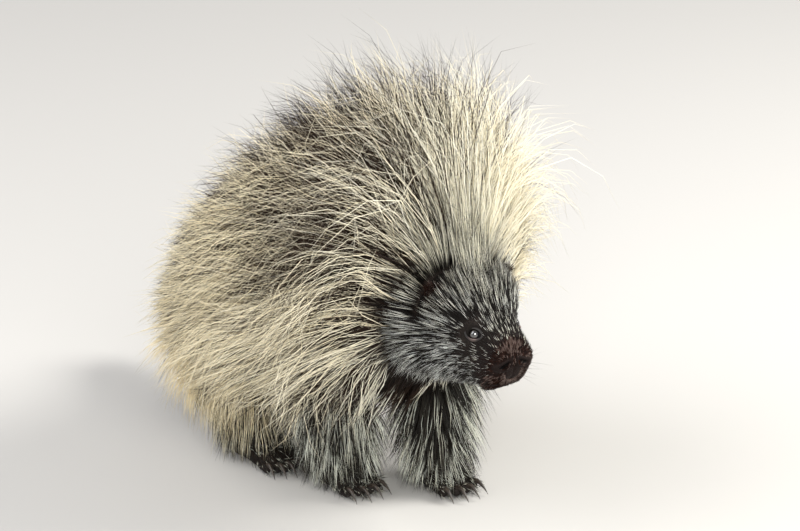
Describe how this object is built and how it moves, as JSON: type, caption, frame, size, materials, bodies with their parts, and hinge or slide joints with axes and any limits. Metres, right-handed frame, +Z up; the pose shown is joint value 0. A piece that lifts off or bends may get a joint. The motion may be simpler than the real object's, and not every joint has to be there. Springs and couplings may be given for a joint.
{
  "type": "porcupine model",
  "caption": "Life-size still model of a North American porcupine walking with its long coat raised in a crest.",
  "frame": {"origin": "On the floor, under the middle of the box round the whole model, coat tips included.", "axes": "+X is forward, the way the animal walks, +Y is its left side and +Z is up. The head turns a little to the animal's right."},
  "size_m": [0.5856, 0.3832, 0.4388],
  "materials": {
    "body_coat": "long dark brown guard hair with straw-yellow tips",
    "crest_coat": "long guard hair, dark at the root and cream at the tip",
    "face_fur": "short charcoal fur ticked with white",
    "leg_fur": "short dark fur grizzled with grey",
    "ear_skin": "dark skin under fine hair",
    "foot_skin": "dark pebbled skin",
    "claw_horn": "dark horn",
    "quill_horn": "ivory with a dark tip",
    "lid_skin": "bare greyish pink skin",
    "eye_glass": "wet black gloss"
  },
  "bodies": {
    "root": {"torso": "body_coat", "neck": "crest_coat", "head": "face_fur", "tail": "body_coat", "ear_left": "ear_skin", "ear_right": "ear_skin", "eye_left": "eye_glass", "eye_right": "eye_glass", "foreleg_left": "leg_fur", "foreleg_right": "leg_fur", "hindleg_left": "leg_fur", "hindleg_right": "leg_fur", "forefoot_left": "foot_skin", "forefoot_right": "foot_skin", "hindfoot_left": "foot_skin", "hindfoot_right": "foot_skin"}
  },
  "joints": []
}
